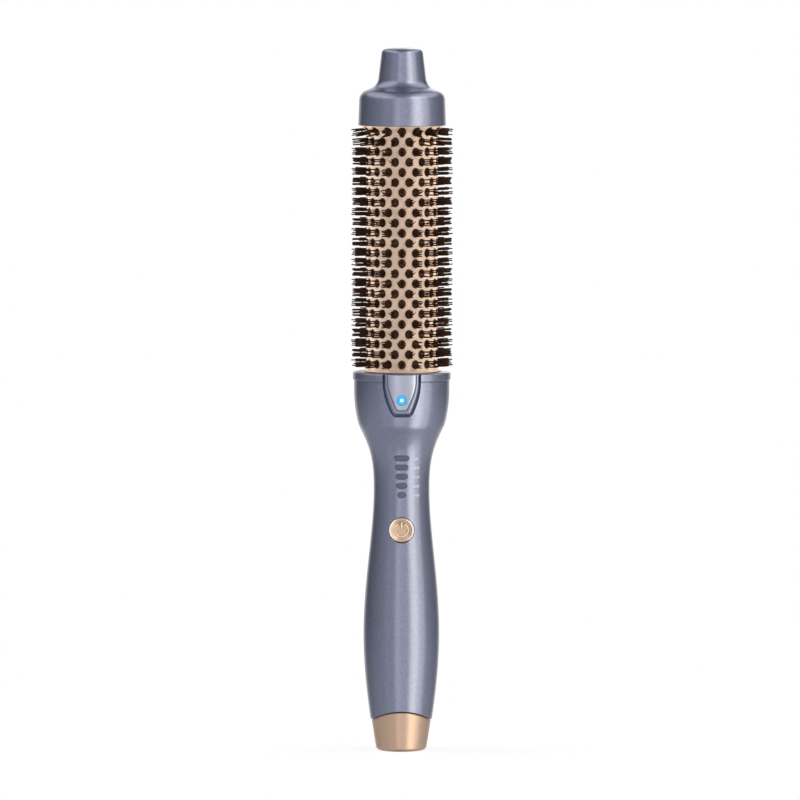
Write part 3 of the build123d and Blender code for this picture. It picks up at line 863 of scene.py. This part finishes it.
def tuft(chance):
    """A tuft of four prongs, one over the other. Each is three filaments that run together."""
    shape = bmesh.new()
    longest = tuft_reach - barrel_r - 0.03
    rise, filament_r, missing_share = 1.2, 0.33, 0.2
    for share in (-1, -1 / 3, 1 / 3, 1):
        inner = abs(share) < 1
        if inner and chance.random() < missing_share:
            continue
        reach = longest - (chance.uniform(0.1, 1.2) if inner else chance.uniform(0, 0.5))
        height = share * rise + chance.uniform(-0.08, 0.08)
        for place in (-0.7, 0, 0.7):
            lean = chance.uniform(-0.06, 0.06)
            strand(shape, [
                (place * 1.4, -1.0, share * rise),
                (place * 1.3 + lean, 1.6, share * (rise - 0.06) + lean),
                (place + lean, 4.2, share * (rise + 0.04) + lean),
                (place * 0.6 + lean, reach - 0.5, height + lean),
                (place * 0.5 + lean, reach - chance.uniform(0, 0.2), height - share * 0.06 + lean),
            ], filament_r)
    return as_mesh(shape)


def stray(side):
    """A single filament that strays out of its tuft to one side."""
    filament_r = 0.26
    shape = bmesh.new()
    strand(shape, [(side * 0.9, -0.6, -0.8), (side * 1.6, 1.8, -0.2), (side * 2.3, 3.6, 0.9)], filament_r)
    return as_mesh(shape)


def make_bristles():
    chance = random.Random(7)
    kinds = [tuft(chance) for _ in range(10)]
    strays = {side: stray(side) for side in (-1, 1)}
    to_root = Matrix.Translation((0, -barrel_r, 0))
    shape = bmesh.new()
    for z, turn in row_places():
        rows_down = (first_row_z - z) / row_pitch
        hang = top_hang * max(1 - rows_down / hanging_rows, 0) - right_lift * max(math.sin(turn), 0)
        tilt = Matrix.Rotation(math.radians(hang + chance.uniform(-tuft_sway, tuft_sway)), 4, "X")
        upright_place = Matrix.Translation((0, 0, z)) @ Matrix.Rotation(turn, 4, "Z")
        place = upright_place @ to_root @ tilt @ to_root.inverted()
        repeat(chance.choice(kinds), [place], shape)
        if chance.random() < stray_share:
            repeat(strays[1 if math.sin(turn) > 0 else -1], [place], shape)
    bmesh.ops.recalc_face_normals(shape, faces=shape.faces)
    settle(shape, "bristle_filaments", filament, stands_for=["bristle_tufts"],
           sharp=100)


# ---- Collar rim, tongue and ion port -------------------------------------------------------------
def make_collar():
    bore = barrel_r + 1.1
    neck = barrel_r + 0.1
    neck_top = rim_top + 0.22
    rim = lathe(outline([
        (neck, handle_top - 3, 0),
        (lining_r, handle_top - 3, 0),
        (lining_r, step_z + 0.08, 0),
        (rim_r - 0.12, step_z + 0.08, 0.1),
        (rim_r, step_z + 0.5, 0.3),
        (rim_r, rim_top, rim_edge),
        (bore + 0.75, rim_top, 0.25),
        (bore, rim_top - 0.6, 0.2),
        (neck + 0.3, rim_top - 0.7, 0),
        (neck + 0.3, neck_top, 0),
        (neck, neck_top, 0),
    ], 8))
    half = tongue_half + parting
    clear_y = -26
    notch = block([
        [(x, -math.sqrt(lining_r**2 - x**2), z) for x in even_steps(-half, half, 24)]
        + [(half, clear_y, z), (-half, clear_y, z)]
        for z in (step_z - 1, rim_top + 1)
    ])
    settle(carve(rim, notch), "collar_rim", pearl, stands_for=["collar_ring"])


def make_tongue():
    back = rim_proud - tongue_thickness
    ledge = -0.6
    # The surround's section: how far in from the outline, and how far out from the handle's skin.
    section = [
        (0, back), (0, -0.75), (0.25, -0.7), (0.48, -0.45), (0.7, -0.12), (0.88, 0.18), (1.02, 0.38),
        (1.2, 0.5), (1.42, rim_proud), (1.84, rim_proud), (1.95, 0.49), (2.0, 0.36), (2.0, ledge),
        (2.75, ledge), (2.75, back),
    ]
    frame_shape, _ = loft(
        [[rim_rounded(x, z, lift) for x, z in tongue_outline(inset)] for inset, lift in section],
        ring=False, close=True,
    )
    settle(close_ends(frame_shape), "tongue_surround", pearl,
           stands_for=["tongue_frame"])

    side = tongue_side(tongue_border + 0.33)
    face_lift = rim_proud - 0.06
    plate = panel(side, lambda x, z: rim_rounded(x, z, face_lift), 0.9, 0.16)
    port_hole = window(lambda grow: circle_outline(2.02 + grow, port_z), 5.0, 0.35)
    bmesh.ops.translate(port_hole, verts=port_hole.verts, vec=(0, -face_lift, 0))
    settle(carve(plate, port_hole), "ion_plate", painted_lit_pearl, stands_for=["ion_panel"])

    face = rim_r - 0.05
    lens_back = face - 2.2
    bore_r, lens_r, tip_r = 0.66, 1.96, 0.63
    lens = lathe(outline([
        (bore_r, lens_back, 0), (lens_r, lens_back, 0), (lens_r, face - 0.1, 0.22), (bore_r, face + 0.08, 0),
    ], 5), steps=64)
    settle(facing_front(lens, port_z), "port_lens", port_light(),
           stands_for=["ion_port_lens"])
    tip = lathe(outline([
        (0, lens_back, 0), (tip_r, lens_back, 0), (tip_r, face + 0.16, 0.3), (0, face + 0.22, 0),
    ], 4), closed=False, steps=32)
    settle(facing_front(tip, port_z), "emitter_dome", inner_finishes["emitter_ceramic"],
           stands_for=["ion_emitter"])


# ---- Handle shells, indicator bars and end cap ---------------------------------------------------
def arch_foot(shape, full_z, none_z):
    """Lifts a turned piece to the arched seam, all of the way at one height and not at all at another."""
    for vert in shape.verts:
        x, y, z = vert.co
        lift = seam_lift(x) * min(max((z - none_z) / (full_z - none_z), 0), 1)
        radius = math.hypot(x, y)
        if lift and radius:
            grown = 1 + (handle_radius(z + lift) - handle_radius(z)) / radius
            vert.co = (x * grown, y * grown, z + lift)


def handle_blank():
    """Both shells in one, hollow, from the arched seam of the end cap to the collar's rim."""
    seam = seam_side_z + seam_groove
    crease_z = grip_stations[-1][0]
    grip_rings, bowl_rings = 112, 15
    heights = even_steps(seam + 0.9, crease_z - 0.5, grip_rings)
    heights += even_steps(crease_z + 0.5, bowl_z, bowl_rings)
    outside = [(handle_radius(z), z, 0) for z in heights]
    inside = [(handle_radius(z) - shell_wall, z, 0) for z in reversed(heights[::8])]
    foot_r = handle_radius(seam)
    corners = outside + [(bowl_r, step_z, 0.3), (bowl_r - shell_wall, step_z, 0)] + inside
    corners += [(foot_r - shell_wall, seam, 0), (foot_r, seam, 0.5)]
    shape = lathe(outline(corners, 5), steps=192)
    arch_foot(shape, seam, arch_fades_z)
    return shape


def half_of(shape, side):
    """The half of a shape on one side of the handle's parting, with its cut faces closed."""
    bmesh.ops.bisect_plane(
        shape, geom=shape.verts[:] + shape.edges[:] + shape.faces[:], dist=1e-5,
        plane_co=(0, side * parting / 2, 0), plane_no=(0, side, 0), clear_inner=True,
    )
    return close_ends(shape)


def parting_lip(side):
    """A rib along one side of the rear shell, which closes the parting from inside."""
    shallow, deep, half_width = 0.9, 1.8, 0.6
    section = ((shallow, half_width), (shallow, -half_width), (deep, -half_width), (deep, half_width))
    return block([
        [(side * (handle_radius(z) - depth), y, z) for depth, y in section]
        for z in even_steps(seam_side_z + 1, step_z - 0.4, 60)
    ])


def make_handle():
    rear = half_of(handle_blank(), 1)
    for side in (1, -1):
        rear.from_mesh(as_mesh(parting_lip(side)))
    settle(rear, "rear_shell", pearl, stands_for=["handle_rear_shell"])
    through, button_well_r = 5.0, button_r + 0.24
    cutters = [
        window(lambda grow: tongue_outline(-0.04 - grow, 2), through, 0.1),
        window(lambda grow: circle_outline(button_well_r + grow, button_z, 96), through, 0.16),
    ]
    for width, z in bars:
        cutters.append(window(lambda grow: slot_outline(width, bar_height, z, 0.03 + grow), through, 0.2))
    front = carve(half_of(handle_blank(), -1), *cutters)
    settle(front, "front_shell", pearl, stands_for=["handle_front_shell"])


def make_indicator():
    """Five pads of one smoked light guide, each set a little under the skin."""
    pads = bmesh.new()
    radius = bar_height / 2
    turns = [math.radians(turn) for turn in range(-90, 91, 12)]
    for width, z in bars:
        reach = (width - bar_height) / 2
        stations = [(reach + radius * math.cos(turn), z + radius * math.sin(turn)) for turn in turns]
        pad = panel(stations, lambda x, height: on_handle(x, height, -0.12), 1.6, 0.08)
        pads.from_mesh(as_mesh(pad))
    settle(pads, "indicator_pads", smoked, stands_for=["indicator_lens"])


def make_labels():
    """Generic marks beside the bars, printed on the skin."""
    label_height, label_left, label_drop, narrowing, ink = 1.26, 5.1, 1.0, 0.84, 0.02
    shape = bmesh.new()
    for words, (_, z) in zip(("ON", "450F", "410F", "350F", "290F"), bars):
        curve = bpy.data.curves.new("label", "FONT")
        curve.body, curve.extrude, curve.resolution_u = words, ink, 2
        letters = linked("label", curve)
        flat = flattened(letters)
        bpy.data.objects.remove(letters)
        before = len(shape.verts)
        shape.from_mesh(flat)
        shape.verts.ensure_lookup_table()
        made = shape.verts[before:]
        left, low = min(vert.co.x for vert in made), min(vert.co.y for vert in made)
        scale = label_height / (max(vert.co.y for vert in made) - low)
        for vert in made:
            x = label_left + (vert.co.x - left) * scale * narrowing
            height = z - label_drop + (vert.co.y - low) * scale
            vert.co = on_handle(x, height, ink + vert.co.z)
    settle(shape, "bar_labels", white_ink)


def make_end_cap():
    base_r, rounding, wall, floor, inset = 11.2, 1.9, 1.5, 2.2, 0.45
    top = seam_side_z
    top_r = handle_radius(top) - inset
    cap = lathe(outline([
        (0, 0, 0),
        (base_r, 0, rounding),
        (top_r, top, 0.6),
        (top_r - wall, top, 0),
        (base_r - wall, floor, 1),
        (0, floor, 0),
    ], 9), closed=False, steps=192)
    tall = [link for link in cap.edges if abs(link.verts[0].co.z - link.verts[1].co.z) > 5]
    bmesh.ops.subdivide_edges(cap, edges=tall, cuts=6)
    arch_foot(cap, top, 1.5)
    socket_width, socket_height, chamfer = 9.34, 3.66, 0.3
    socket = block([
        [(x, y, z) for x, y in slot_outline(socket_width + 2 * grow, socket_height + 2 * grow, 0)]
        for z, grow in ((-1, chamfer), (-0.02, chamfer), (chamfer - 0.02, 0), (4, 0))
    ])
    settle(carve(cap, socket), "foot_cap", trim_gold, stands_for=["end_cap"])


# ---- Power button --------------------------------------------------------------------------------
def make_button():
    face = button_face_depth
    skirt = face - 3.6
    cap = lathe(outline([
        (0, face - 0.75, 0),
        (3.4, face - 0.6, 2.4),
        (4.85, face - 0.02, 0.2),
        (5.1, face, 0.2),
        (button_r, face - 0.3, 0.3),
        (button_r, skirt, 0),
        (0, skirt, 0),
    ], 6), closed=False, steps=96)
    settle(facing_front(cap, button_z), "button_cap", button_gold, body="power_button",
           stands_for=["power_button"])

    base, ridge, crown = face - 0.9, face - 0.46, face - 0.38
    crown_half = symbol_half - 0.12
    section = (
        (-symbol_half, base), (-symbol_half, ridge), (-crown_half, crown),
        (crown_half, crown), (symbol_half, ridge), (symbol_half, base),
    )
    symbol = bmesh.new()
    verts, edges = chain(symbol, [(symbol_r + half, 0, depth) for half, depth in section], ring=True)
    ring_sweep = 302
    ring_start = Matrix.Rotation(math.radians(90 + (360 - ring_sweep) / 2), 3, "Z")
    bmesh.ops.rotate(symbol, verts=verts, cent=(0, 0, 0), matrix=ring_start)
    bmesh.ops.spin(
        symbol, geom=verts + edges, cent=(0, 0, 0), axis=(0, 0, 1), angle=math.radians(ring_sweep), steps=48
    )
    stem_width, stem_middle = 0.72, 2.15
    loft([
        [(z, x + stem_middle, depth) for x, z in slot_outline(stem_length, stem_width, 0, -draw)]
        for depth, draw in ((base, 0), (ridge, 0), (crown, 0.1))
    ], shape=symbol)
    settle(facing_front(close_ends(symbol), button_z), "power_symbol", symbol_gold, body="power_button")


make_tip()
make_barrel()
make_tuft_plugs()
make_bristles()
make_collar()
make_tongue()
make_handle()
make_indicator()
make_labels()
make_end_cap()
make_button()

# ---- Pieces kept from the frame get their own finishes -------------------------------------------
replaced = {name for piece in bpy.data.objects for name in piece.get("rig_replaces", ())}
for name, node in frame["nodes"].items():
    if name in replaced:
        continue
    for number, old in enumerate(node.data.materials):
        kind = old.name.split(".")[0] if old else ""
        node.data.materials[number] = inner_finishes.get(kind, black_moulding)


# ---- Floor, light and camera, in metres ----------------------------------------------------------
def make_floor():
    """White paper where the camera sees it, apart from the shadow round the brush's foot."""
    finish = Finish("pale_floor")
    shadow_r, paper_r = 0.02, 0.16
    fade = finish.ramp(finish.vector("LENGTH", finish.place()), shadow_r, paper_r, 0.8, 1.0)
    rays = finish.node("LightPath").outputs
    seen = Field(finish, rays["Is Camera Ray"]) + Field(finish, rays["Is Glossy Ray"])
    seen = seen + Field(finish, rays["Is Transmission Ray"])
    paper = finish.node("BsdfDiffuse", None, {"Color": (0.9, 0.9, 0.9, 1)})
    glow = finish.node("Emission", None, {"Color": (1, 1, 1, 1), "Strength": 1.0})
    mixed = finish.node("MixShader", None, {0: fade * seen, 1: paper.outputs[0], 2: glow.outputs[0]})
    finish.node("OutputMaterial", None, {"Surface": mixed.outputs[0]})
    disc = bmesh.new()
    bmesh.ops.create_circle(disc, cap_ends=True, segments=96, radius=2.5)
    floor = as_object(disc, "floor")
    floor.data.materials.append(finish.material)
    floor.visible_glossy = floor.visible_shadow = False


def make_world():
    """A pale room with a light strip along each side of its ceiling; the camera sees it as white."""
    world = bpy.data.worlds.new("studio")
    bpy.context.scene.world = world
    world.use_nodes = True
    room = Finish("studio", world.node_tree)
    # Each ramp turns a direction's share along one axis, from -1 to 1, into a brightness.
    across, depth, height = room.parts(room.node("TexCoord").outputs["Generated"])
    around = room.ramp(depth, -1.0, 0.75, 0.43, 0.06) + room.ramp(depth, 0.75, 1.0, 0.0, 0.48)
    table = room.ramp(height, -0.45, 0.0, 0.3, 0.0) * room.ramp(depth, -1.0, 0.4, 0.25, 1.0)
    right = room.ramp(across, 0.4, 1.0, 0.0, 0.11)
    strips = room.ramp(height, 0.35, 0.6, 0.0, 0.85) * room.ramp(room.math("ABSOLUTE", across), 0.2, 0.5)
    behind = room.ramp(depth, 0.8, 1.0, 0.0, 0.4) * room.ramp(height, 0.05, 0.3)
    lit = (around + table + right + strips + behind) * room.ramp(height, -0.99, -0.9, 0.1, 1.0)
    seen = Field(room, room.node("LightPath").outputs["Is Camera Ray"])
    light = room.node("Background", None, {"Color": (1, 1, 1, 1), "Strength": lit + seen * (1 - lit)})
    room.node("OutputWorld", None, {"Surface": light.outputs[0]})


lit_middle = Vector((0, 0, 0.17))
warm = (1.0, 0.95, 0.79)


def strip_light(name, azimuth, distance, height, size, power, colour=(1, 1, 1), mirrored=True):
    """A soft lamp; azimuth 0 is behind the camera and positive is to its right."""
    lamp = bpy.data.lights.new(name, "AREA")
    lamp.shape, (lamp.size, lamp.size_y), lamp.energy, lamp.color = "RECTANGLE", size, power, colour
    turn = math.radians(azimuth)
    at = Vector((math.sin(turn) * distance, -math.cos(turn) * distance, height))
    light = linked(name, lamp)
    light.location = at
    light.rotation_euler = (lit_middle - at).to_track_quat("-Z", "Y").to_euler()
    light.visible_glossy, light.visible_camera = mirrored, False


def make_camera():
    lens = bpy.data.cameras.new("camera")
    lens.lens, lens.sensor_width = 351.0, 36
    lens.clip_start, lens.clip_end = 0.05, 30
    camera = linked("camera", lens)
    eye, looks_at, roll = Vector((-0.0008, -3.5, 0.396)), Vector((-0.0008, 0, 0.158)), 0.0015
    camera.location = eye
    aim = (looks_at - eye).to_track_quat("-Z", "Y")
    camera.rotation_euler = (aim @ Quaternion((0, 0, 1), roll)).to_euler()
    bpy.context.scene.camera = camera


make_floor()
make_world()
strip_light("key", 41, 1.2, 0.2, (0.5, 2.6), 4.2, warm)
strip_light("soft_key", 49, 1.2, 0.2, (1.2, 2.6), 8.0, warm)
strip_light("front", 2, 1.5, 0.2, (0.7, 2.6), 2.0)
strip_light("fill", -14, 1.5, 0.2, (0.35, 2.6), 1.8)
strip_light("left", -44, 1.2, 0.2, (0.4, 2.6), 0.4)
strip_light("back_left", -150, 1.2, -0.1, (0.4, 1.1), 0.22)
strip_light("back_right", 150, 1.2, -0.1, (0.4, 1.1), 0.22)
strip_light("back", 172, 1.2, 0.2, (0.3, 2.6), 1.3)
strip_light("left_side", -95, 1.2, 0.2, (1.0, 2.0), 31, mirrored=False)
strip_light("right_side", 100, 1.2, 0.2, (1.0, 2.0), 22, mirrored=False)
make_camera()
bpy.context.scene.view_settings.view_transform = "Standard"
